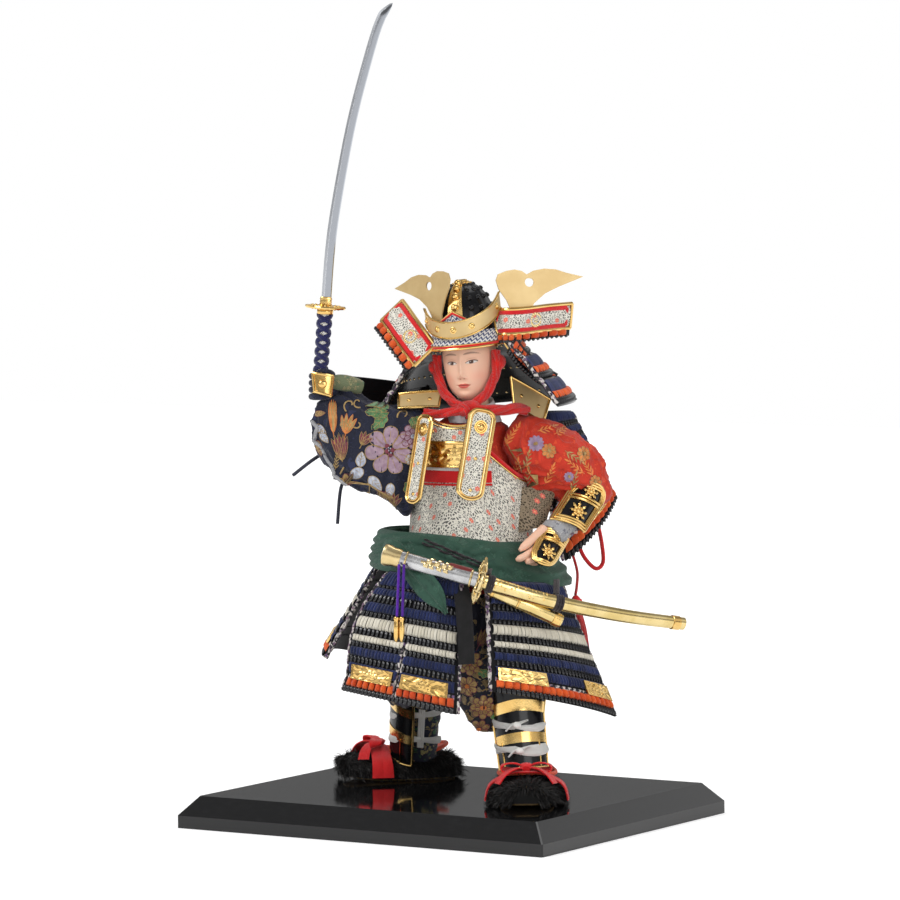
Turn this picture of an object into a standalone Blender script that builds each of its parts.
"""A samurai display doll with a raised sword, standing on a chamfered lacquered board.

Lengths are in millimetres and angles in degrees; main() turns the finished meshes into metres.
The board's frame is the part's frame: origin under the middle of the board, +Z up, -Y to the front.
The figure is laid out in a frame of its own, turned on the board so that its showing side, -Y there,
looks over the board's front right corner. Its pieces are built from the inside outwards, and each
one is cut clear of those that are already there, as cloth and plates lie on what carries them.
"""

import math

import bmesh
import bpy
from mathutils import Matrix, Vector
from mathutils.bvhtree import BVHTree

MM = 0.001

# How the figure stands on the board, and how close its pieces lie to each other.
SHOW_TURN = 33.0
FIT_GAP = 0.5
SEAT = 0.4

# Board
BOARD_WIDTH = 260.0
BOARD_DEPTH = 210.0
BOARD_EDGE = 7.6
BOARD_HEIGHT = 19.0
BOARD_CHAMFER = 9.9
BOARD_ROUND = 0.8

# Figure: the upright line through the hips, and the levels up it
HIP_X = 13.5
HIP_Y = -5.0
KNEE_Z = 74.0
WAIST_Z = 172.0
CHEST_Z = 222.0
SHOULDER_Z = 246.0

# Legs and shoes
SOLE_LENGTH = 68.0
SOLE_WIDTH = 32.0
SOLE_THICK = 2.0
TOE_LIFT = 5.0
SHOE_LENGTH = 75.0
SHOE_WIDTH = 46.0
SHOE_HEIGHT = 17.0
LEG_RADIUS = 13.5
LEG_FOOT_RADIUS = 11.5
LEG_LIFT = 5.0
TIE_WIDTH = 13.0
TIE_THICK = 1.3
BAND_WIDTH = 5.0
BAND_THICK = 1.3
GUARD_THICK = 1.4
GUARD_LOW_Z = 36.0
GUARD_HIGH_Z = 88.0
GUARD_SPREAD = 68.0
RIGHT_ANKLE = (-22.0, 57.0)
RIGHT_KNEE = (-18.0, 22.0)
RIGHT_FOOT_TURN = -81.0
LEFT_ANKLE = (45.0, -52.0)
LEFT_KNEE = (39.0, -36.0)
LEFT_FOOT_TURN = -2.0
ANKLE_TO_HEEL = 27.0

# Skirt of laced lames
LAME_THICK = 2.2
LAME_STEP = 1.3
LACE_ROWS = (12.0, 10.5, 10.5, 13.0, 8.5, 11.0, 8.0, 13.0)

# Body armour
CORE_RADIUS = 25.0
CORE_DEPTH = 0.8
CUIRASS_RADIUS = 37.0
CUIRASS_TOP_RADIUS = 31.0
CUIRASS_THICK = 1.6
TORSO_TURN = -20.0
PLATE_THICK = 1.4
SASH_THICK = 3.0

# Head and helmet
HEAD_X = 16.0
HEAD_Y = -13.0
CHIN_Z = 258.0
HEAD_TURN = -18.0
HEAD_ROLL = 5.5
FACE_WIDTH = 32.0
HEAD_HEIGHT = 46.0
BOWL_RADIUS = 19.5
BOWL_HEIGHT = 37.0
BRIM_Z = 31.0
HORN_THICK = 0.9
FLAP_THICK = 1.6
NECK_GUARD_REACH = 38.0
NECK_GUARD_DROP = 44.0

# Raised sword
GRIP_RADIUS = 4.2
GRIP_LENGTH = 50.0
GUARD_RADIUS = 12.0
GUARD_PLATE = 1.2
BLADE_WIDTH = 6.0
BLADE_THICK = 1.4
SWORD_GUARD_AT = (-72.0, -20.0, 313.5)
GRIP_SECTIONS = ((1.0, 0.82), (0.94, 0.79), (1.0, 0.83), (0.71, 0.57))

# Slung sword and short sword
SCABBARD_HEIGHT = 9.2
SCABBARD_THICK = 6.2
HILT_HEIGHT = 10.4
HILT_THICK = 7.0

# Cords
HILT_CORD = 1.7
RED_CORD = 1.8
SLEEVE_CORD = 2.2
AGLET_RADIUS = 1.7
AGLET_LENGTH = 15.0

COLOURS = {
    "lacquer": ((0.012, 0.012, 0.013), 0.08, 0.0),
    "fur": ((0.012, 0.011, 0.011), 0.9, 0.0),
    "red_silk": ((0.75, 0.02, 0.02), 0.5, 0.0),
    "dark_brocade": ((0.03, 0.03, 0.045), 0.7, 0.0),
    "navy_lace": ((0.03, 0.045, 0.13), 0.75, 0.0),
    "gold": ((0.80, 0.58, 0.24), 0.25, 1.0),
    "pale_gold": ((0.76, 0.66, 0.40), 0.3, 1.0),
    "steel": ((0.60, 0.60, 0.61), 0.25, 1.0),
    "printed_hide": ((0.72, 0.69, 0.62), 0.6, 0.0),
    "white_cloth": ((0.80, 0.79, 0.77), 0.7, 0.0),
    "red_brocade": ((0.70, 0.06, 0.02), 0.5, 0.0),
    "green_cloth": ((0.03, 0.12, 0.08), 0.7, 0.0),
    "straw": ((0.55, 0.42, 0.22), 0.9, 0.0),
    "skin": ((0.82, 0.58, 0.43), 0.45, 0.0),
    "black_plate": ((0.015, 0.015, 0.017), 0.3, 0.0),
    "black_cord": ((0.02, 0.018, 0.02), 0.7, 0.0),
    "purple_silk": ((0.10, 0.01, 0.35), 0.5, 0.0),
}

built = []


# Mesh helpers


def clear_scene():
    """Leaves nothing of the startup scene."""
    for obj in list(bpy.data.objects):
        bpy.data.objects.remove(obj)


def material(name):
    """The Principled material of that name, made once."""
    if name in bpy.data.materials:
        return bpy.data.materials[name]
    colour, roughness, metallic = COLOURS[name]
    made = bpy.data.materials.new(name)
    made.use_nodes = True
    shader = made.node_tree.nodes["Principled BSDF"]
    shader.inputs["Base Color"].default_value = (*colour, 1.0)
    shader.inputs["Roughness"].default_value = roughness
    shader.inputs["Metallic"].default_value = metallic
    made.diffuse_color = (*colour, 1.0)
    return made


def link_mesh(name, points, faces):
    """An object of those points, in millimetres, with its faces turned outwards."""
    mesh = bpy.data.meshes.new(name)
    mesh.from_pydata([Vector(p) for p in points], [], faces)
    shape = bmesh.new()
    shape.from_mesh(mesh)
    bmesh.ops.triangulate(shape, faces=[f for f in shape.faces if len(f.verts) > 4])
    bmesh.ops.recalc_face_normals(shape, faces=shape.faces)
    if shape.calc_volume(signed=True) < 0:
        bmesh.ops.reverse_faces(shape, faces=shape.faces)
    shape.to_mesh(mesh)
    shape.free()
    obj = bpy.data.objects.new(name, mesh)
    bpy.context.scene.collection.objects.link(obj)
    return obj


def bake(obj):
    """Applies the object's modifiers to its mesh."""
    graph = bpy.context.evaluated_depsgraph_get()
    mesh = bpy.data.meshes.new_from_object(obj.evaluated_get(graph))
    obj.modifiers.clear()
    obj.data = mesh


def combine(obj, other, operation):
    """A Boolean of obj with other, which is used up."""
    boolean = obj.modifiers.new("combine", "BOOLEAN")
    boolean.operation = operation
    boolean.solver = "EXACT"
    boolean.use_self = True
    boolean.object = other
    bake(obj)
    bpy.data.objects.remove(other)


def joined(first, *others):
    """One closed body of several that cross each other."""
    for other in others:
        combine(first, other, "UNION")
    return first


def grown_copy(obj, by):
    """A copy whose surface lies by millimetres further out, to cut clearance with."""
    mesh = obj.data.copy()
    normals = [v.normal.copy() for v in mesh.vertices]
    for vertex, normal in zip(mesh.vertices, normals):
        vertex.co += normal * by
    copy = bpy.data.objects.new("clearance", mesh)
    bpy.context.scene.collection.objects.link(copy)
    return copy


def tree_of(mesh):
    """A search tree of a mesh's faces."""
    return BVHTree.FromPolygons([v.co for v in mesh.vertices], [tuple(p.vertices) for p in mesh.polygons])


def keep_largest(obj):
    """Drops the crumbs that a cut leaves beside the main body."""
    shape = bmesh.new()
    shape.from_mesh(obj.data)
    bmesh.ops.triangulate(shape, faces=shape.faces)
    bmesh.ops.remove_doubles(shape, verts=shape.verts, dist=1e-4)
    bmesh.ops.dissolve_degenerate(shape, edges=shape.edges, dist=1e-4)
    unseen = set(shape.faces)
    islands = []
    while unseen:
        edge_of = [unseen.pop()]
        island = set(edge_of)
        while edge_of:
            face = edge_of.pop()
            for edge in face.edges:
                for near in edge.link_faces:
                    if near in unseen:
                        unseen.discard(near)
                        island.add(near)
                        edge_of.append(near)
        islands.append(island)
    if len(islands) > 1:
        largest = max(islands, key=lambda island: sum(f.calc_area() for f in island))
        bmesh.ops.delete(shape, geom=[f for f in shape.faces if f not in largest], context="FACES")
        loose = [v for v in shape.verts if not v.link_faces]
        bmesh.ops.delete(shape, geom=loose, context="VERTS")
    shape.to_mesh(obj.data)
    shape.free()


def place(obj, colour, cut=True):
    """Fits a piece round those already built, and keeps it as a node of its own."""
    if cut:
        for other in built:
            if tree_of(obj.data).overlap(tree_of(grown_copy_mesh(other))):
                combine(obj, grown_copy(other, FIT_GAP), "DIFFERENCE")
        keep_largest(obj)
    obj.data.materials.clear()
    obj.data.materials.append(material(colour))
    obj.data.shade_smooth()
    obj.data.set_sharp_from_angle(angle=math.radians(35))
    built.append(obj)
    return obj


def grown_copy_mesh(obj):
    """The mesh of a grown copy, for a quick test of whether two pieces come too close."""
    copy = grown_copy(obj, FIT_GAP)
    mesh = copy.data
    bpy.data.objects.remove(copy)
    return mesh


# Shape helpers: each returns points and faces, in millimetres


def loft(rings):
    """A closed skin over rings of equally many points, capped at both ends."""
    count = len(rings[0])
    points = [p for ring in rings for p in ring]
    faces = []
    for i in range(len(rings) - 1):
        for j in range(count):
            k = (j + 1) % count
            faces.append((i * count + j, i * count + k, (i + 1) * count + k, (i + 1) * count + j))
    faces.append(tuple(range(count))[::-1])
    last = (len(rings) - 1) * count
    faces.append(tuple(range(last, last + count)))
    return points, faces


def frames_along(path, up):
    """For each point of a path, the point and two directions across it."""
    path = [Vector(p) for p in path]
    side = None
    made = []
    for i, point in enumerate(path):
        ahead = path[min(i + 1, len(path) - 1)] - path[max(i - 1, 0)]
        ahead.normalize()
        if side is None:
            side = ahead.cross(Vector(up)).normalized()
        side = (side - ahead * side.dot(ahead)).normalized()
        made.append((point, side, side.cross(ahead)))
    return made


def tube(path, sizes, sides=10, up=(0, 0, 1)):
    """A rod of oval section along a path; sizes gives half the width and half the height at each point."""
    rings = []
    for (point, side, top), (wide, high) in zip(frames_along(path, up), sizes):
        ring = []
        for k in range(sides):
            turn = 2 * math.pi * k / sides
            ring.append(point + side * wide * math.cos(turn) + top * high * math.sin(turn))
        rings.append(ring)
    return loft(rings)


def rod(path, radius, sides=10):
    """A round rod of one radius."""
    return tube(path, [(radius, radius)] * len(path), sides)


def slab(surface, across, down, thick, ring=False):
    """A plate: surface(s, t) for s and t from 0 to 1 is its outer face, and thick is laid inside it.

    across counts the steps in s, and down lists the values of t. With ring, s = 0 and s = 1 meet.
    """
    columns = across if ring else across + 1
    small = 1e-3
    outer, inner = [], []
    for t in down:
        for i in range(columns):
            s = i / across
            point = Vector(surface(s, t))
            along_s = Vector(surface(s + small, t)) - Vector(surface(s - small, t))
            along_t = Vector(surface(s, min(t + small, 1))) - Vector(surface(s, max(t - small, 0)))
            normal = along_s.cross(along_t).normalized()
            outer.append(point)
            inner.append(point - normal * thick)
    points = outer + inner
    shift = len(outer)
    rows = len(down)
    faces = []
    steps = columns if ring else columns - 1
    for j in range(rows - 1):
        for i in range(steps):
            k = (i + 1) % columns
            a, b, c, d = j * columns + i, j * columns + k, (j + 1) * columns + k, (j + 1) * columns + i
            faces.append((a, b, c, d))
            faces.append((a + shift, d + shift, c + shift, b + shift))
    for i in range(steps):
        k = (i + 1) % columns
        faces.append((i, i + shift, k + shift, k))
        low = (rows - 1) * columns
        faces.append((low + i, low + k, low + k + shift, low + i + shift))
    if not ring:
        for j in range(rows - 1):
            a, b = j * columns, (j + 1) * columns
            faces.append((a, b, b + shift, a + shift))
            a, b = a + columns - 1, b + columns - 1
            faces.append((a, a + shift, b + shift, b))
    return points, faces


def prism(outline, thick, origin, across, up):
    """A flat plate of a drawn outline, standing on the plane of across and up through origin."""
    across, up, origin = Vector(across).normalized(), Vector(up).normalized(), Vector(origin)
    normal = across.cross(up)
    front = [origin + across * x + up * y - normal * thick / 2 for x, y in outline]
    back = [p + normal * thick for p in front]
    return loft([front, back])


def pillow(outline, centre, out, front, back, levels=(1.0, 0.93, 0.72, 0.4)):
    """A stuffed form: an outline closed by two domes that stand front and back millimetres out."""
    outline, centre, out = [Vector(p) for p in outline], Vector(centre), Vector(out).normalized()
    rings = []
    for share, depth in [(f, front) for f in reversed(levels)] + [(f, -back) for f in levels[1:]]:
        lift = out * depth * math.sqrt(max(0.0, 1 - share**2.5))
        rings.append([centre + (p - centre) * share + lift for p in outline])
    return loft(rings)


def rounded(points, per_corner=3):
    """The outline with each corner replaced by a short curve."""
    made = []
    count = len(points)
    for i, corner in enumerate(points):
        corner = Vector(corner)
        before = corner.lerp(Vector(points[i - 1]), 0.3)
        after = corner.lerp(Vector(points[(i + 1) % count]), 0.3)
        for k in range(per_corner):
            f = k / (per_corner - 1)
            made.append(before.lerp(corner, f).lerp(corner.lerp(after, f), f))
    return made


def curve_through(points, per_span=4):
    """A smooth path through points, as a Catmull-Rom curve."""
    points = [Vector(p) for p in points]
    ends = [points[0] * 2 - points[1], *points, points[-1] * 2 - points[-2]]
    made = []
    for i in range(1, len(ends) - 2):
        a, b, c, d = ends[i - 1 : i + 3]
        for k in range(per_span):
            f = k / per_span
            square, cube = a * 2 - b * 5 + c * 4 - d, b * 3 - a - c * 3 + d
            made.append((b * 2 + (c - a) * f + square * f**2 + cube * f**3) / 2)
    made.append(points[-1])
    return made


def spot(angle, radius, z, centre=(HIP_X, HIP_Y)):
    """A point round the figure: 0 degrees is its showing side, and 90 is to the right of that."""
    turn = math.radians(angle)
    return Vector((centre[0] + radius * math.sin(turn), centre[1] - radius * math.cos(turn), z))


def figure_node(name, shape, colour, cut=True):
    """A node built in the figure's frame and set on the board."""
    obj = link_mesh(name, *shape) if isinstance(shape, tuple) else shape
    obj.name = name
    return place(obj, colour, cut)


# Board and legs


def make_board():
    """One block with a plumb edge and a wide chamfer, and its upright arrises just broken."""
    half_x, half_y = BOARD_WIDTH / 2, BOARD_DEPTH / 2

    def level(inset, z):
        corners = [
            (-half_x + inset, -half_y + inset, z),
            (half_x - inset, -half_y + inset, z),
            (half_x - inset, half_y - inset, z),
            (-half_x + inset, half_y - inset, z),
        ]
        made = []
        for i, corner in enumerate(corners):
            corner = Vector(corner)
            for other in (corners[i - 1], corners[(i + 1) % 4]):
                made.append(corner + (Vector(other) - corner).normalized() * BOARD_ROUND)
        return made

    shape = loft([level(0, 0), level(0, BOARD_EDGE), level(BOARD_CHAMFER, BOARD_HEIGHT)])
    board = link_mesh("base_board", *shape)
    board.data.transform(Matrix.Rotation(-math.radians(SHOW_TURN), 4, "Z"))
    place(board, "lacquer", cut=False)


def foot_point(ankle, turn, ahead, aside, z):
    """A point of a foot: ahead of its heel and aside of its middle line."""
    facing = math.radians(turn)
    toe = Vector((math.sin(facing), -math.cos(facing), 0))
    side = Vector((math.cos(facing), math.sin(facing), 0))
    heel = Vector((ankle[0], ankle[1], z)) - toe * ANKLE_TO_HEEL
    return heel + toe * ahead + side * aside


def toe_rise(share):
    """How far the sole has lifted off the board, at a share of its length."""
    return TOE_LIFT * max(0.0, (share - 0.55) / 0.45) ** 2


def sole_shape(ankle, turn):
    """The leather sole, flat under the heel and turned up at the toe."""
    rings = []
    start = (SHOE_LENGTH - SOLE_LENGTH) / 2
    for share in (0.0, 0.06, 0.25, 0.55, 0.8, 0.94, 1.0):
        half = SOLE_WIDTH / 6
        if 0.0 < share < 1.0:
            half = SOLE_WIDTH / 2 * (1 - abs(2 * share - 1.05) ** 3.2) ** 0.5
        low = BOARD_HEIGHT + SEAT + toe_rise(share)
        ahead = start + SOLE_LENGTH * share
        ring = [(-half, low), (half, low), (half, low + SOLE_THICK), (-half, low + SOLE_THICK)]
        rings.append([foot_point(ankle, turn, ahead, aside, z) for aside, z in ring])
    return link_mesh("sole", *loft(rings))


def make_lower_leg(side, ankle, knee):
    """The brocade-wrapped calf, with the two white bands that are knotted round it."""
    low, high = Vector((*ankle, BOARD_HEIGHT + SOLE_THICK + LEG_LIFT)), Vector((*knee, KNEE_Z + 8))
    shares = (0.0, 0.2, 0.5, 0.8, 1.0)
    path = [low.lerp(high, f) for f in shares]
    radii = [LEG_FOOT_RADIUS + (LEG_RADIUS - LEG_FOOT_RADIUS) * f for f in shares]
    leg = link_mesh("leg", *tube(path, [(r, r) for r in radii], 14, (0, 1, 0)))
    for z, tilt in ((46.0, 2.0), (64.0, -2.5)):
        share = (z - low.z) / (high.z - low.z)
        middle = low.lerp(high, share)
        radius = LEG_FOOT_RADIUS + (LEG_RADIUS - LEG_FOOT_RADIUS) * share + BAND_THICK
        lean = Vector((tilt, 0, BAND_WIDTH / 2))
        band = link_mesh("band", *tube([middle - lean, middle + lean], [(radius, radius)] * 2, 14, (0, 1, 0)))
        leg = joined(leg, band)
    figure_node(f"{side}_lower_leg", leg, "dark_brocade")


def make_shoe(side, ankle, turn):
    """The fur shoe on its sole: a low dome, highest at the instep, with an opening for the leg."""
    rings = []
    profile = (
        (0.0, 0.42, 0.55),
        (0.08, 0.74, 0.85),
        (0.25, 0.92, 1.0),
        (0.5, 1.0, 1.0),
        (0.75, 0.96, 0.92),
        (0.92, 0.7, 0.8),
        (1.0, 0.36, 0.6),
    )
    for share, wide, high in profile:
        half, top = SHOE_WIDTH / 2 * wide, SHOE_HEIGHT * high
        low = BOARD_HEIGHT + SEAT + SOLE_THICK * 0.5 + toe_rise(share)
        ring = []
        for k in range(11):
            turn_up = math.pi * k / 10
            ring.append((half * math.cos(turn_up), low + top * math.sin(turn_up) ** 0.8))
        rings.append([foot_point(ankle, turn, SHOE_LENGTH * share, aside, z) for aside, z in ring])
    figure_node(f"{side}_shoe", joined(link_mesh("shoe", *loft(rings)), sole_shape(ankle, turn)), "fur")


def make_shoe_tie(side, ankle, turn, over):
    """The red ribbon over the instep, over millimetres ahead of the heel, with its flat bow on top."""

    def strap(s, t):
        angle = math.pi * (0.02 + 0.96 * s)
        half, top = SHOE_WIDTH / 2 + 1.6, SHOE_HEIGHT + 2.4
        aside = half * math.cos(angle)
        z = BOARD_HEIGHT + SEAT + SOLE_THICK * 0.5 + top * math.sin(angle) ** 0.8
        return foot_point(ankle, turn, over + TIE_WIDTH * (t - 0.5), aside, z)

    ribbon = link_mesh("ribbon", *slab(strap, 10, (0.0, 1.0), TIE_THICK))
    bow_z = BOARD_HEIGHT + SHOE_HEIGHT + SOLE_THICK + 3.0
    bows = []
    for aside in (-1, 1):
        tip = foot_point(ankle, turn, over + 2, aside * 13, bow_z + 1.5)
        path = [foot_point(ankle, turn, over, 0, bow_z), tip]
        bows.append(link_mesh("bow", *tube(path, [(3.0, 2.0), (5.5, 1.8)], 6)))
    knot_low, knot_high = (foot_point(ankle, turn, over + d, 0, bow_z) for d in (-4.0, 4.0))
    knot = link_mesh("knot", *tube([knot_low, knot_high], [(4.2, 3.0)] * 2, 8))
    figure_node(f"{side}_shoe_tie", joined(ribbon, knot, *bows), "red_silk")


def make_shin_guard(side, ankle, knee, turn):
    """The three-lobed shin plate, ridged down its middle and flared over the knee."""
    foot, top = Vector((*ankle, BOARD_HEIGHT)), Vector((*knee, KNEE_Z + 8))
    axis = (top - foot).normalized()
    facing = Vector((math.sin(math.radians(turn)), -math.cos(math.radians(turn)), 0))
    facing = (facing - axis * facing.dot(axis)).normalized()
    side_way = axis.cross(facing) * -1

    def surface(s, t):
        edge = abs(1 - 2 * s)
        z = GUARD_HIGH_Z + (GUARD_LOW_Z - GUARD_HIGH_Z) * t - 4 * edge * (1 - t)
        share = (z - BOARD_HEIGHT) / (KNEE_Z + 8 - BOARD_HEIGHT)
        angle = math.radians(GUARD_SPREAD * (2 * s - 1))
        radius = LEG_FOOT_RADIUS + (LEG_RADIUS - LEG_FOOT_RADIUS) * share
        radius += BAND_THICK + GUARD_THICK + FIT_GAP
        radius += 0.1 + 2.0 * (1 - edge) + 10.0 * max(0.0, 0.35 - t)
        return foot.lerp(top, share) + (facing * math.cos(angle) + side_way * math.sin(angle)) * radius

    shape = slab(surface, 8, (0.0, 0.15, 0.35, 0.7, 1.0), GUARD_THICK)
    figure_node(f"{side}_shin_guard", shape, "black_plate")


def make_legs():
    """Both legs from the soles up."""
    feet = (
        ("right", RIGHT_ANKLE, RIGHT_KNEE, RIGHT_FOOT_TURN, 51.0),
        ("left", LEFT_ANKLE, LEFT_KNEE, LEFT_FOOT_TURN, 49.0),
    )
    for side, ankle, knee, turn, over in feet:
        make_lower_leg(side, ankle, knee)
        make_shoe(side, ankle, turn)
        make_shoe_tie(side, ankle, turn, over)
        make_shin_guard(side, ankle, knee, turn)


# Body


def make_body_core():
    """The packed straw body that everything is dressed on."""
    rings = []
    profile = ((118, 0.9), (140, 1.0), (WAIST_Z, 1.0), (200, 1.08), (CHEST_Z, 1.12), (SHOULDER_Z - 6, 0.92))
    for z, wide in (*profile, (SHOULDER_Z, 0.55)):
        ring = []
        for k in range(14):
            turn = 2 * math.pi * k / 14
            aside = CORE_RADIUS * wide * math.cos(turn)
            ahead = CORE_RADIUS * CORE_DEPTH * wide * math.sin(turn)
            ring.append(Vector((HIP_X + aside, HIP_Y + ahead, z)))
        rings.append(ring)
    figure_node("body_core", loft(rings), "straw")


def make_trousers():
    """Both legs of the brocade trousers, ballooned over the knees and gathered under them."""
    bodies = []
    for knee, share, shift in ((RIGHT_KNEE, 0.35, 0.0), (LEFT_KNEE, 0.6, -5.0)):
        hip = Vector((HIP_X, HIP_Y, 140)).lerp(Vector((*knee, 140)), share)
        middle = Vector((knee[0] + shift, knee[1], 0))
        levels = [Vector((middle.x, middle.y, z)) for z in (112, 96, 78, 66)]
        path = [hip, hip.lerp(levels[0], 0.6), *levels[1:]]
        sizes = [(24, 22), (29, 27), (28, 27), (25, 23), (18, 16)]
        bodies.append(link_mesh("trouser", *tube(path, sizes, 14, (0, 1, 0))))
    figure_node("trousers", joined(*bodies), "dark_brocade")


def lame_profile(rows):
    """The values of t down a laced panel, and how far each stands out: a groove, then a rounded band."""
    total = sum(rows)
    down = []
    at = 0.0
    for i, row in enumerate(rows):
        out = LAME_STEP * (0.6 + 0.25 * i)
        for share, lift in ((0.0, 0.0), (0.2, 1.0), (0.92, 1.0)):
            down.append(((at + row * share) / total, out * 0.55 + LAME_STEP * lift))
        at += row
    down.append((1.0, down[-1][1] - 0.3))
    return down


def laced_panel(corners, bulge, rows, across=7, belly=0.0):
    """A hanging panel between four corners, bowed out by bulge and stepped into laced rows.

    belly widens the half of it that is away from s = 1, halfway down.
    """
    top_left, top_right, low_left, low_right = [Vector(c) for c in corners]
    out = (top_right - top_left).cross(low_left - top_left).normalized() * -1
    profile = lame_profile(rows)

    def lift_at(t):
        for (t0, l0), (t1, l1) in zip(profile, profile[1:]):
            if t <= t1:
                return l0 + (l1 - l0) * (t - t0) / max(t1 - t0, 1e-6)
        return profile[-1][1]

    side = (top_left - top_right).normalized()

    def middle(s, t):
        point = top_left.lerp(top_right, s).lerp(low_left.lerp(low_right, s), t)
        return point + side * belly * max(0.0, 1 - 2 * s) * math.sin(math.pi * min(1.0, t * 1.15))

    def outer(s, t):
        point = middle(s, t)
        return point + out * (bulge * 4 * s * (1 - s) * (0.6 + 0.4 * t) + lift_at(t))

    def inner(s, t):
        point = middle(s, t)
        return point + out * (bulge * 4 * s * (1 - s) * (0.6 + 0.4 * t) - LAME_THICK)

    down = [t for t, _ in profile]
    columns = across + 1
    points = [outer(i / across, t) for t in down for i in range(columns)]
    points += [inner(i / across, t) for t in down for i in range(columns)]
    return stitch(points, columns, len(down))


def stitch(points, columns, rows):
    """The faces of a plate from its outer grid of points followed by its inner one."""
    shift = columns * rows
    faces = []
    for j in range(rows - 1):
        for i in range(columns - 1):
            a, d = j * columns + i, (j + 1) * columns + i
            b, c = a + 1, d + 1
            faces.append((a, b, c, d))
            faces.append((a + shift, d + shift, c + shift, b + shift))
    for i in range(columns - 1):
        low = (rows - 1) * columns + i
        faces.append((i, i + shift, i + 1 + shift, i + 1))
        faces.append((low, low + 1, low + 1 + shift, low + shift))
    for j in range(rows - 1):
        a, b = j * columns, (j + 1) * columns
        faces.append((a, b, b + shift, a + shift))
        faces.append((a + columns - 1, a + columns - 1 + shift, b + columns - 1 + shift, b + columns - 1))
    return points, faces


# Each panel's corners, top left, top right, low left and low right, then its bulge and its belly.
PANELS = {
    "front": ((-35.0, -47.0, 157.0), (8.0, -66.0, 152.0), (-64.0, -48.0, 86.0), (4.5, -75.0, 73.5), 9.0, 8.0),
    "left": ((21.0, -66.0, 152.0), (66.0, -20.0, 145.0), (22.5, -76.0, 87.0), (97.0, -30.0, 66.0), 10.0, 0.0),
    "back": ((66.0, 8.0, 148.0), (-12.0, 42.0, 154.0), (88.0, 18.0, 70.0), (-14.0, 78.0, 78.0), 16.0, 0.0),
    "right": ((-20.0, 36.0, 156.0), (-40.0, -10.0, 158.0), (-48.0, 66.0, 92.0), (-74.0, -10.0, 100.0), 10.0, 0.0),
}


def make_skirt():
    """The four laced panels that hang from the waist over the trousers."""
    for side, (*corners, bulge, belly) in PANELS.items():
        figure_node(f"skirt_{side}", laced_panel(corners, bulge, LACE_ROWS, belly=belly), "navy_lace")


def torso_frame(angle, radius, z, depth=0.84):
    """A point round the trunk: 0 degrees is the middle of the breast."""
    turn, lean = math.radians(angle), math.radians(TORSO_TURN)
    ahead, aside = radius * depth * math.cos(turn), radius * math.sin(turn)
    x = aside * math.cos(lean) + ahead * math.sin(lean)
    y = aside * math.sin(lean) - ahead * math.cos(lean)
    return Vector((HIP_X + x, HIP_Y + y, z))


def trunk_radius(z):
    """The outside of the cuirass at a height: wide at the hips and drawn in over the chest."""
    share = (z - WAIST_Z + 8) / (SHOULDER_Z - WAIST_Z + 8)
    return CUIRASS_RADIUS + (CUIRASS_TOP_RADIUS - CUIRASS_RADIUS) * max(0.0, share) ** 1.2


def make_cuirass():
    """The hide-covered cuirass: a shell round the trunk, cut low under the arms."""

    def surface(s, t):
        angle = 360 * s
        arm = abs(math.sin(math.radians(angle))) ** 1.5
        top = SHOULDER_Z - 4 - (SHOULDER_Z - CHEST_Z + 8) * arm
        z = top + (WAIST_Z - 8 - top) * t
        return torso_frame(angle, trunk_radius(z), z)

    figure_node("cuirass", slab(surface, 28, (0.0, 0.3, 0.65, 1.0), CUIRASS_THICK, ring=True), "printed_hide")


def chest_plate(name, angles, zs, lift, colour, dip=0.0, arch=0.0):
    """A plate on the cuirass between two angles and two heights, lift millimetres off it."""

    def surface(s, t):
        angle = angles[0] + (angles[1] - angles[0]) * s
        high = zs[1] - dip * 4 * s * (1 - s)
        z = high + (zs[0] - arch * 4 * s * (1 - s) - high) * t
        return torso_frame(angle, trunk_radius(z) + lift, z)

    figure_node(name, slab(surface, 10, (0.0, 0.5, 1.0), PLATE_THICK), colour)


def guard_plate(name, top, low, half_width, facing):
    """A long round-ended plate that hangs in front of an armpit, with a boss near its top."""
    top, low = Vector(top), Vector(low)
    down = (low - top).normalized()
    facing = Vector(facing)
    facing = (facing - down * facing.dot(down)).normalized()
    across = facing.cross(down)
    long = (low - top).length
    outline = []
    for end, start in ((0.0, 180.0), (1.0, 0.0)):
        for k in range(7):
            turn = math.radians(start + 30 * k)
            middle = half_width * 0.7 + (long - half_width * 1.4) * end
            outline.append((half_width * math.cos(turn), middle + half_width * 0.7 * math.sin(turn)))
    front = [top + across * x + down * y + facing * PLATE_THICK for x, y in outline]
    back = [p - facing * PLATE_THICK * 1.4 for p in front]
    plate = link_mesh("plate", *loft([front, back]))
    boss_at = top + down * half_width * 1.35 + facing * PLATE_THICK * 0.6
    boss = link_mesh("boss", *tube([boss_at, boss_at + facing * 3.0], [(3.6, 3.6), (2.2, 2.2)], 10, down))
    figure_node(name, joined(plate, boss), "gold")


def make_breast():
    """What is fixed on the cuirass: the breast plate, its gilt plate and the two armpit guards."""
    chest_plate("gilt_chest_plate", (-30, 34), (CHEST_Z - 5, CHEST_Z + 9), 3.2, "gold")
    chest_plate("breast_plate", (-30, 38), (CHEST_Z + 10, SHOULDER_Z + 2), 3.4, "printed_hide", dip=6.0)
    guard_plate("left_chest_guard", (21.4, -36.2, 252.0), (11.8, -44.2, 199.0), 8.0, (0.25, -1.0, 0.1))
    guard_plate("right_chest_guard", (-11.5, -32.0, 248.5), (-20.5, -37.0, 196.5), 6.5, (-0.75, -0.65, 0.1))


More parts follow.
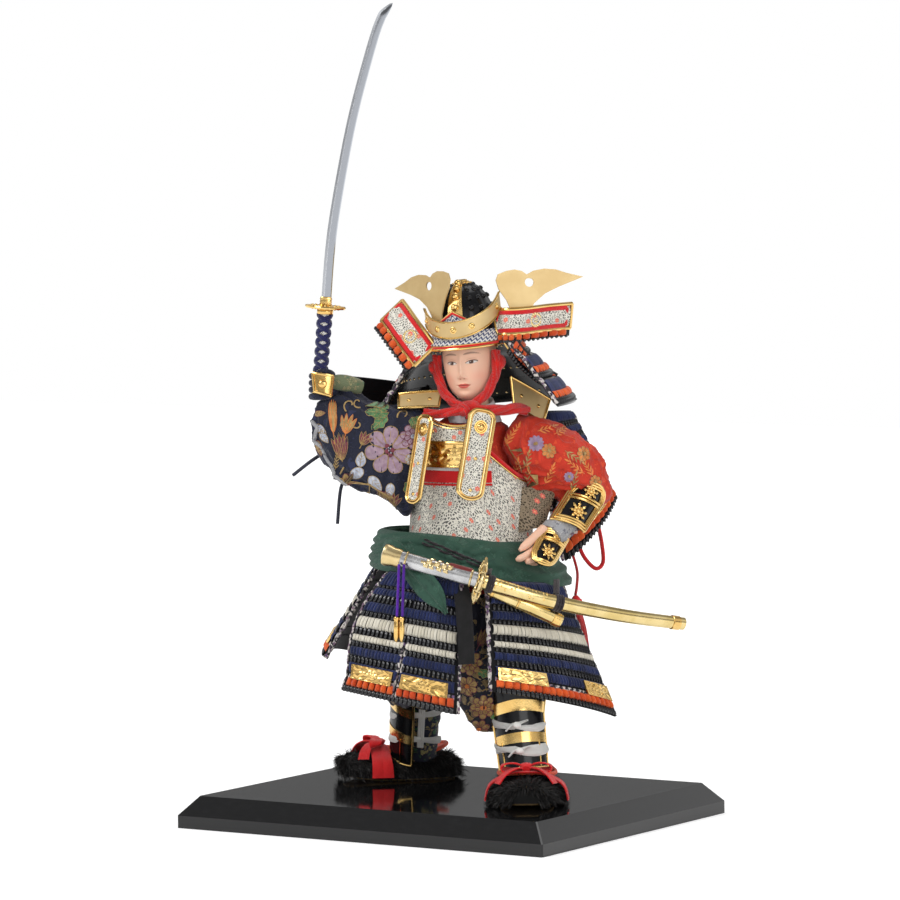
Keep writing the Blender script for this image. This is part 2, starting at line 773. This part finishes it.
def make_shoulders():
    """The two gilt neck plates that stand on the shoulder straps."""
    left = ((38.5, -16.0, 270.0), (62.0, 2.0, 255.0), (40.0, -17.0, 253.0), (57.5, -4.0, 241.0))
    right = ((-29.0, -10.0, 260.0), (-3.0, -16.0, 262.0), (-29.0, -18.0, 252.0), (-5.0, -24.0, 253.0))
    for name, corners in (("left_shoulder_plate", left), ("right_shoulder_plate", right)):
        a, b, c, d = [Vector(p) for p in corners]

        def surface(s, t):
            return a.lerp(b, s).lerp(c.lerp(d, s), t)

        figure_node(name, slab(surface, 4, (0.0, 0.33, 0.67, 1.0), PLATE_THICK), "pale_gold")


def make_collar():
    """The white under-collar, crossed at the throat."""

    def surface(s, t):
        angle = -150 + 300 * (1 - s)
        radius = 12.0 + 5.0 * t
        z = CHIN_Z - 3 - 12 * t - 3 * math.cos(math.radians(angle)) * (1 - t)
        return spot(angle + HEAD_TURN, radius, z, (HEAD_X, HEAD_Y + 6))

    figure_node("collar", slab(surface, 14, (0.0, 1.0), 1.6), "white_cloth")


def make_sash():
    """The green sash, wound round the hips over the tops of the skirt panels, with its tail hanging."""

    def surface(s, t):
        angle = 360 * s
        lean = math.sin(math.radians(angle))
        top = 175 - 4 * lean
        low = 150 - 6 * lean
        z = top + (low - top) * t
        radius = 39 + 20 * t**0.7 + 12 * max(0.0, -lean) ** 4 * (1 - t)
        return spot(angle, radius * (1 - 0.22 * math.cos(math.radians(angle)) ** 2), z)

    band = link_mesh("band", *slab(surface, 32, (0.0, 0.35, 0.7, 1.0), SASH_THICK, ring=True))
    tail_path = curve_through([(-24, -53, 158), (-16, -62, 150), (-8, -67, 142), (-2, -69, 134)], 2)
    tail_sizes = [(8 * math.sin(math.pi * min(0.97, 0.25 + 0.7 * k / 6)) + 0.8, 1.2) for k in range(7)]
    tail = link_mesh("tail", *tube(tail_path, tail_sizes, 8, (0.4, 1, 0)))
    figure_node("sash", joined(band, tail), "green_cloth")


def make_waist_strap():
    """The black tie that hangs between the front and left panels."""
    path = curve_through([(6, -62, 152), (8, -76, 140), (9, -79.5, 122), (9.5, -80.5, 104)], 2)
    figure_node("waist_strap", tube(path, [(5.0, 1.0)] * len(path), 6, (0, 1, 0)), "black_cord")


# Head and helmet


def head_matrix():
    """Turns the head's own frame, face to -Y and chin at the origin, to where it sits."""
    shift = Matrix.Translation(Vector((HEAD_X, HEAD_Y, CHIN_Z)))
    turn = Matrix.Rotation(math.radians(HEAD_TURN), 4, "Z")
    return shift @ Matrix.Rotation(math.radians(-HEAD_ROLL), 4, "Y") @ turn


def on_head(points):
    """Points of the head's own frame, moved to the figure's."""
    place_at = head_matrix()
    return [place_at @ Vector(p) for p in points]


def make_head():
    """The head with its neck, and a low nose; the features are painted."""
    half = FACE_WIDTH / 2
    profile = (
        (-16, 7.5, 7.5, 5.0),
        (-4, 7.5, 8.0, 4.0),
        (0, 8.0, 12.5, 0.0),
        (5, 12.5, 16.0, 0.5),
        (12, 14.8, 17.8, 1.0),
        (22, half, 19.0, 1.5),
        (32, half - 0.5, 18.8, 1.5),
        (40, 12.5, 15.0, 1.5),
        (HEAD_HEIGHT, 6.0, 7.5, 1.5),
    )
    rings = []
    for z, wide, deep, back in profile:
        ring = []
        for k in range(16):
            turn = 2 * math.pi * k / 16
            nose = 2.2 if k == 12 and z == 12 else 0.6 if k == 12 and z == 22 else 0.0
            ring.append((wide * math.cos(turn), back + deep * math.sin(turn) - nose, z))
        rings.append(on_head(ring))
    figure_node("head", loft(rings), "skin")


def make_helmet_bowl():
    """The black bowl: a dome with rows of rivet heads standing out of it."""
    segments, rows = 30, 9
    points = []
    for j in range(rows + 1):
        up = math.pi / 2 * j / (rows + 0.6)
        for i in range(segments):
            turn = 2 * math.pi * i / segments
            rivet = 1.2 if j % 2 == 1 and i % 2 == 0 else 0.0
            wide, high = BOWL_RADIUS + rivet, BOWL_HEIGHT
            points.append(
                (
                    wide * math.cos(up) ** 0.75 * math.cos(turn),
                    1.5 + (wide + 2) * math.cos(up) ** 0.75 * math.sin(turn),
                    BRIM_Z + 1 + (high + rivet) * math.sin(up),
                )
            )
    rings = [on_head(points[j * segments : (j + 1) * segments]) for j in range(rows + 1)]
    figure_node("helmet_bowl", loft(rings), "black_plate")


def make_visor():
    """The printed brim over the brow, a band wrapped round the front of the bowl and flared out."""

    def surface(s, t):
        angle = math.radians(-82 + 164 * s)
        wide = BOWL_RADIUS + 0.8 + 3.4 * t
        z = BRIM_Z + 9.5 - 9.5 * t
        return on_head([(wide * math.sin(angle), 1.5 - (wide + 2) * math.cos(angle), z)])[0]

    figure_node("visor", slab(surface, 14, (0.0, 0.5, 1.0), 1.4), "printed_hide")


def flap_plate(name, path, up, height):
    """A turned-back side flap: a strip of one height along a bent path, with a round crest on it."""
    path = curve_through(path, 3)
    up = Vector(up).normalized()
    count = len(path) - 1

    def surface(s, t):
        at = min(max(s, 0.0), 1.0) * count
        i = min(int(at), count - 1)
        return path[i].lerp(path[i + 1], at - i) - up * height * (t - 0.5)

    plate = link_mesh("plate", *slab(surface, count, (0.0, 0.5, 1.0), FLAP_THICK))
    middle = path[round(count * 0.62)]
    ahead = (path[round(count * 0.62) + 1] - path[round(count * 0.62) - 1]).normalized()
    out = ahead.cross(up).normalized()
    crest_path = [middle - out * 1.0, middle + out * 1.6]
    crest = link_mesh("crest", *tube(crest_path, [(6.0, 6.0), (4.6, 4.6)], 14, up))
    figure_node(name, joined(plate, crest), "printed_hide")


def make_flaps():
    """Both turned-back flaps; the one on the sword side is pushed up and over by the raised arm."""
    left = ((31.5, -22.0, 301.0), (36.0, -28.0, 301.5), (46.0, -27.0, 302.0), (60.0, -16.0, 303.0))
    left_end = (75.0, -4.0, 303.5)
    flap_plate("left_side_flap", (*left, left_end), (0.10, 0.0, 1.0), 20.0)
    right = ((-34.0, -4.0, 308.0), (-30.5, -10.0, 303.5), (-25.5, -16.0, 296.5), (-20.0, -20.0, 289.0))
    right_end = (-14.5, -22.0, 281.5)
    flap_plate("right_side_flap", (*right, right_end), (0.73, 0.05, 0.68), 24.0)


def make_neck_guard():
    """The flared neck guard: three laced rows round the back of the head, open at the face."""

    def surface(s, t):
        angle = math.radians(72 + 216 * s)
        step = 1.3 * (1 - (t * 3) % 1) if t < 1 else 0.0
        wide = BOWL_RADIUS + 2.5 + NECK_GUARD_REACH * t**0.9 + step
        z = BRIM_Z + 5 - NECK_GUARD_DROP * t**1.1
        return on_head([(wide * math.sin(angle), 1.5 - wide * math.cos(angle), z)])[0]

    down = (0.0, 0.32, 0.34, 0.65, 0.675, 1.0)
    figure_node("neck_guard", slab(surface, 18, down, 1.8), "black_plate")


def make_horn_base():
    """The gilt crescent plate that carries the horns, in front of the bowl."""

    def surface(s, t):
        angle = math.radians(-66 + 150 * s)
        wide = BOWL_RADIUS + 4.4
        rise = 8.0 * (math.degrees(angle) / 62) ** 2
        z = BRIM_Z + 7 + rise + 8.0 * (1 - t)
        return on_head([(wide * math.sin(angle), 1.0 - (wide + 2) * math.cos(angle), z)])[0]

    figure_node("horn_base", slab(surface, 12, (0.0, 0.5, 1.0), 1.2), "pale_gold")


HORN_OUTLINE = (
    (0.0, 0.0),
    (5.3, 1.9),
    (10.5, 2.6),
    (15.0, 1.6),
    (18.0, -0.6),
    (22.4, 1.6),
    (29.0, 2.6),
    (36.3, 1.9),
    (43.0, -0.4),
    (53.4, -3.0),
    (45.4, -5.8),
    (37.5, -8.6),
    (29.0, -12.3),
    (22.0, -17.8),
    (18.0, -23.5),
    (16.0, -31.0),
    (8.0, -31.0),
    (8.0, -24.0),
    (4.5, -15.5),
    (0.0, -9.0),
    (-1.4, -3.6),
)
HORN_HOLE = (19.3, -5.2)
HORN_HOLE_SIZE = 2.8
HORN_DROOP = 5.0
HORNS = {
    "left_horn": ((31.3, -26.0, 332.0), 16.0, 1),
    "right_horn": ((1.9, -30.8, 333.2), 52.0, -1),
}


def make_horns():
    """The two gilt horns, swept back from the crescent, each with a heart-shaped hole."""
    heart = []
    for k in range(14):
        turn = 2 * math.pi * k / 14
        lobe = 0.78 + 0.22 * abs(math.cos(turn)) + 0.22 * max(0.0, -math.sin(turn)) ** 3
        reach = HORN_HOLE_SIZE * lobe
        heart.append((HORN_HOLE[0] + reach * math.cos(turn), HORN_HOLE[1] + reach * math.sin(turn)))
    for name, (corner, sweep, way) in HORNS.items():
        turn = math.radians(sweep)
        rise = way * math.cos(turn) * math.tan(math.radians(HEAD_ROLL)) - math.tan(math.radians(HORN_DROOP))
        across = Vector((way * math.cos(turn), math.sin(turn), rise)).normalized()
        up = Vector((0, 0.12, 1))
        up = (up - across * up.dot(across)).normalized()
        horn = link_mesh(name, *prism(HORN_OUTLINE, HORN_THICK, corner, across, up))
        combine(horn, link_mesh("hole", *prism(heart, HORN_THICK * 6, corner, across, up)), "DIFFERENCE")
        figure_node(name, horn, "pale_gold")


def make_chin_cord():
    """The thick red cord round the face, knotted under the chin with its ends spread over the shoulders."""
    loop = [(18.5, -5, 27), (18.6, -7, 17), (16.0, -10, 8), (10, -14, 0.0), (0, -17, -4.5)]
    path = loop + [(-x, y, z) for x, y, z in reversed(loop[:-1])]
    path = curve_through(on_head(path), 3)
    cord = link_mesh("loop", *rod(path, 3.0, 8))
    knot = link_mesh("knot", *tube(on_head([(-3, -17, -6), (7, -17, -6)]), [(4.6, 4.6)] * 2, 8))
    left_path = curve_through([(16, -31, 252.5), (32, -29, 251), (48, -20, 250)], 3)
    right_path = curve_through([(12, -31, 252), (-2, -29, 249.5), (-14, -26, 249.5)], 3)
    left = link_mesh("left_end", *tube(left_path, [(4.0, 3.2)] * 7, 8))
    right = link_mesh("right_end", *tube(right_path, [(3.4, 2.8)] * 7, 8))
    figure_node("chin_cord", joined(cord, knot, left, right), "red_silk")


# Swords


BLADE_LINE = (
    (-71.7, -20.0, 314.6),
    (-68.9, -20.0, 346.0),
    (-65.3, -20.0, 371.0),
    (-58.0, -20.0, 409.0),
    (-52.2, -20.0, 434.0),
    (-45.2, -20.0, 459.0),
    (-39.5, -20.0, 477.5),
    (-35.5, -20.0, 487.5),
)
BLADE_TIP = (-29.3, -20.0, 494.5)


def make_raised_sword():
    """The drawn sword: a curved blade with its collar, the round guard, and the wrapped grip."""
    guard = Vector(SWORD_GUARD_AT)
    spine = [Vector(p) for p in BLADE_LINE]
    rings = []
    for point, side, top in frames_along(spine, (0, 1, 0)):
        wide, thick = side * BLADE_WIDTH / 2, top * BLADE_THICK / 2
        rings.append([point + wide, point + thick, point - wide, point - thick])
    rings.append([Vector(BLADE_TIP) + (p - spine[-1]) * 0.1 for p in rings[-1]])
    figure_node("sword_blade", loft(rings), "steel")
    axis = (spine[1] - spine[0]).normalized()
    faces_at = [guard - axis * GUARD_PLATE / 2, guard + axis * GUARD_PLATE / 2]
    figure_node("sword_guard", tube(faces_at, [(GUARD_RADIUS,) * 2] * 2, 24, (0, 1, 0)), "gold")
    low = guard - axis * (GUARD_PLATE / 2 + SEAT)
    path = [low - axis * GRIP_LENGTH * f for f in (0.0, 0.5, 0.9, 1.0)]
    sizes = [(GRIP_RADIUS * wide, GRIP_RADIUS * high) for wide, high in GRIP_SECTIONS]
    figure_node("sword_grip", tube(path, sizes, 10, (1, 0, 0)), "navy_lace")


TACHI_LINE = (
    (-38.5, -62.0, 168.5),
    (-5.4, -72.0, 159.5),
    (18.0, -78.0, 153.3),
    (57.0, -69.0, 140.5),
    (101.0, -45.0, 128.5),
    (140.5, -14.0, 119.5),
)
SHORT_LINE = ((24.0, -71.0, 147.5), (45.0, -70.5, 137.5), (66.0, -64.0, 127.0))


def make_slung_swords():
    """The slung sword, whole and curved in one line, and the short sword's scabbard under it."""
    line = curve_through(TACHI_LINE, 4)
    hilt, scabbard = line[: len(line) * 2 // 5 + 1], line[len(line) * 2 // 5 :]
    toward_end = (scabbard[1] - scabbard[0]).normalized()
    guard_at = scabbard[0]
    hilt = [*hilt[:-1], guard_at - toward_end * (1.0 + SEAT)]
    scabbard = [guard_at + toward_end * (1.0 + SEAT), *scabbard[1:]]
    sizes = [(HILT_THICK / 2, HILT_HEIGHT / 2)] * len(hilt)
    sizes[0] = (HILT_THICK / 2 * 1.15, HILT_HEIGHT / 2 * 1.2)
    sizes[1] = (HILT_THICK / 2 * 1.2, HILT_HEIGHT / 2 * 1.25)
    figure_node("tachi_hilt", tube(hilt, sizes, 10), "steel")
    outline = []
    for k in range(24):
        turn = 2 * math.pi * k / 24
        lobe = 1 + 0.10 * math.cos(4 * turn)
        outline.append((8.5 * lobe * math.cos(turn), 13.5 * lobe * math.sin(turn)))
    across = toward_end.cross(Vector((0, 0, 1))).normalized()
    up = across.cross(toward_end)
    figure_node("tachi_guard", prism(outline, 2.0, guard_at, across, up), "gold")
    count = len(scabbard)
    sizes = [(SCABBARD_THICK / 2, SCABBARD_HEIGHT / 2 * (1 - 0.16 * k / count)) for k in range(count)]
    sizes[-1] = (SCABBARD_THICK / 2 * 0.7, SCABBARD_HEIGHT / 2 * 0.7)
    figure_node("tachi_scabbard", tube(scabbard, sizes, 10), "pale_gold")
    short = curve_through(SHORT_LINE, 3)
    sizes = [(SCABBARD_THICK * 0.42, SCABBARD_HEIGHT * 0.42)] * len(short)
    figure_node("short_scabbard", tube(short, sizes, 10), "pale_gold")


# Arms


def make_left_arm():
    """The left arm, hand on hip: hand, gilt hand plate, forearm plate, and the red sleeve over it."""
    palm = [(66, -24, 176), (56, -40, 165), (50, -46, 160)]
    hand = link_mesh("palm", *tube(palm, [(6, 3.4), (7.5, 3.6), (6, 3.0)], 8))
    for base, end in (((54, -44, 168), (42.5, -50, 169)), ((52, -46, 162), (41, -51.5, 164.5))):
        hand = joined(hand, link_mesh("finger", *tube([base, end], [(2.6, 2.6), (1.9, 1.9)], 6)))
    figure_node("left_hand", hand, "skin")

    def plate(name, corners, bulge):
        a, b, c, d = [Vector(p) for p in corners]
        out = (b - a).cross(c - a).normalized() * -1

        def surface(s, t):
            return a.lerp(b, s).lerp(c.lerp(d, s), t) + out * bulge * 4 * s * (1 - s)

        figure_node(name, slab(surface, 6, (0.0, 0.5, 1.0), PLATE_THICK), "gold")

    over_hand = ((56.5, -38.0, 180.0), (70.0, -31.0, 173.0), (47.0, -56.0, 161.0), (59.0, -50.0, 157.0))
    over_arm = ((77.0, -18.0, 206.0), (94.5, -12.0, 200.0), (62.0, -34.0, 184.0), (78.5, -28.0, 178.0))
    plate("left_hand_plate", over_hand, 3.0)
    plate("left_forearm_plate", over_arm, 4.0)
    upper = [(36, -15, 238), (52, -16, 228), (68, -11, 217), (83, -4, 207), (91, -1, 199)]
    body = link_mesh("upper", *tube(upper, [(14, 14), (20, 20), (22, 23), (18, 18), (10, 10)], 12, (0, 1, 0)))
    lower = [(94, 0, 204), (82, -12, 196), (70, -23, 184), (65, -27, 179)]
    fore = link_mesh("fore", *tube(lower, [(10, 12), (12, 13), (9, 9), (7, 7)], 12))
    under = [(44, -17, 227), (58, -17, 213), (70, -14, 203)]
    drape = link_mesh("drape", *tube(under, [(12, 14), (14, 16), (11, 12)], 10))
    figure_node("left_sleeve", joined(body, fore, drape), "red_brocade")


SLEEVE_OUTLINE = (
    (-76.0, 266.0),
    (-64.0, 270.0),
    (-48.0, 262.0),
    (-28.0, 256.0),
    (-8.0, 252.0),
    (-4.0, 236.0),
    (-10.0, 214.0),
    (-18.0, 192.0),
    (-22.0, 180.0),
    (-34.0, 190.0),
    (-48.0, 197.0),
    (-62.0, 201.0),
    (-74.0, 213.0),
    (-83.0, 229.0),
    (-84.0, 244.0),
    (-80.0, 256.0),
)


def make_right_arm():
    """The raised right arm: the hand on the grip, and the wide sleeve that hangs from the wrist."""
    grip_low = Vector(SWORD_GUARD_AT) + Vector((-3.0, 2.6, -47.0))
    path = [grip_low + Vector((0, 0, -7)), grip_low, grip_low + Vector((0, 0, 8))]
    hand = link_mesh("fist", *tube(path, [(7, 7), (8, 8), (6.5, 6.5)], 10, (0, 1, 0)))
    figure_node("right_hand", hand, "skin")
    outline = [Vector((x, -12.0, z)) for x, z in SLEEVE_OUTLINE]
    shape = pillow(rounded(outline, 2), (-46.0, -12.0, 230.0), (0.0, -1.0, 0.05), 17.0, 15.0)
    figure_node("right_sleeve", shape, "dark_brocade")


def make_shoulder_guards():
    """The large laced shoulder guards, one behind each arm."""
    left = ((48.0, -2.0, 248.0), (74.0, 30.0, 246.0), (68.0, 8.0, 156.0), (100.0, 32.0, 193.0))
    right = ((-10.0, 26.0, 262.0), (-62.0, 12.0, 270.0), (-14.0, 34.0, 200.0), (-68.0, 20.0, 206.0))
    for name, corners in (("left_shoulder_guard", left), ("right_shoulder_guard", right)):
        figure_node(name, laced_panel(corners, 6.0, LACE_ROWS), "navy_lace")


CORDS = {
    "hilt_cord_a": ((-29.6, -69.6, 163.0), (-30.4, -68.2, 147.5), (-31.3, -67.0, 131.9)),
    "hilt_cord_b": ((-26.6, -70.8, 163.0), (-27.4, -69.2, 147.5), (-28.0, -68.0, 131.9)),
    "bow_loop": (
        (77.9, 10.7, 171.4),
        (78.5, 13.5, 166.0),
        (82.5, 16.0, 157.0),
        (89.0, 18.0, 150.5),
        (93.5, 20.0, 154.0),
        (93.0, 20.5, 165.0),
        (91.0, 20.5, 176.0),
        (89.8, 18.5, 183.6),
    ),
    "tassel_cord": (
        (71.5, 10.6, 168.0),
        (74.5, 13.5, 161.0),
        (77.5, 9.0, 150.0),
        (77.0, 0.0, 142.0),
        (76.0, -5.0, 137.0),
    ),
    "sleeve_cord_a": ((-66.0, 1.0, 231.0), (-75.0, 0.5, 224.5), (-83.0, -4.5, 219.5), (-93.5, -2.0, 211.3)),
    "sleeve_cord_b": ((-58.0, 3.0, 222.0), (-62.0, -1.0, 210.0), (-65.0, -5.5, 201.5), (-67.0, -6.0, 181.9)),
}


def make_cords():
    """The cords that hang free, the two aglets and the tassel."""
    thick = {"hilt": HILT_CORD, "bow_": RED_CORD * 1.4, "tass": RED_CORD, "slee": SLEEVE_CORD}
    colours = {"hilt": "purple_silk", "bow_": "red_silk", "tass": "red_silk", "slee": "black_cord"}
    for name, route in CORDS.items():
        path = curve_through(route, 4)
        figure_node(name, rod(path, thick[name[:4]] / 2, 6), colours[name[:4]])
    for letter in "ab":
        end = Vector(CORDS[f"hilt_cord_{letter}"][-1]) - Vector((0, 0, SEAT))
        low = end - Vector((0.4, 0, AGLET_LENGTH))
        sizes = [(AGLET_RADIUS * 0.8,) * 2, (AGLET_RADIUS,) * 2, (AGLET_RADIUS * 0.5,) * 2]
        figure_node(f"aglet_{letter}", tube([end, end.lerp(low, 0.7), low], sizes, 8, (0, 1, 0)), "gold")
    head = Vector(CORDS["tassel_cord"][-1]) - Vector((0, 0, SEAT))
    end = Vector((79.0, -6.0, 101.0))
    path = [head, head.lerp(end, 0.16), head.lerp(end, 0.24), end]
    sizes = [(1.6, 1.6), (3.6, 3.4), (3.0, 2.8), (5.2, 3.2)]
    figure_node("tassel", tube(path, sizes, 10, (0, 1, 0)), "red_silk")


def main():
    clear_scene()
    make_board()
    make_legs()
    make_body_core()
    make_head()
    make_raised_sword()
    make_slung_swords()
    make_trousers()
    make_cuirass()
    make_breast()
    make_collar()
    make_helmet_bowl()
    make_visor()
    make_horn_base()
    make_horns()
    make_flaps()
    make_neck_guard()
    make_chin_cord()
    make_shoulders()
    make_left_arm()
    make_right_arm()
    make_shoulder_guards()
    make_sash()
    make_skirt()
    make_waist_strap()
    make_cords()
    turn = Matrix.Rotation(math.radians(SHOW_TURN), 4, "Z")
    for obj in built:
        obj.data.transform(Matrix.Scale(MM, 4) @ turn)


main()
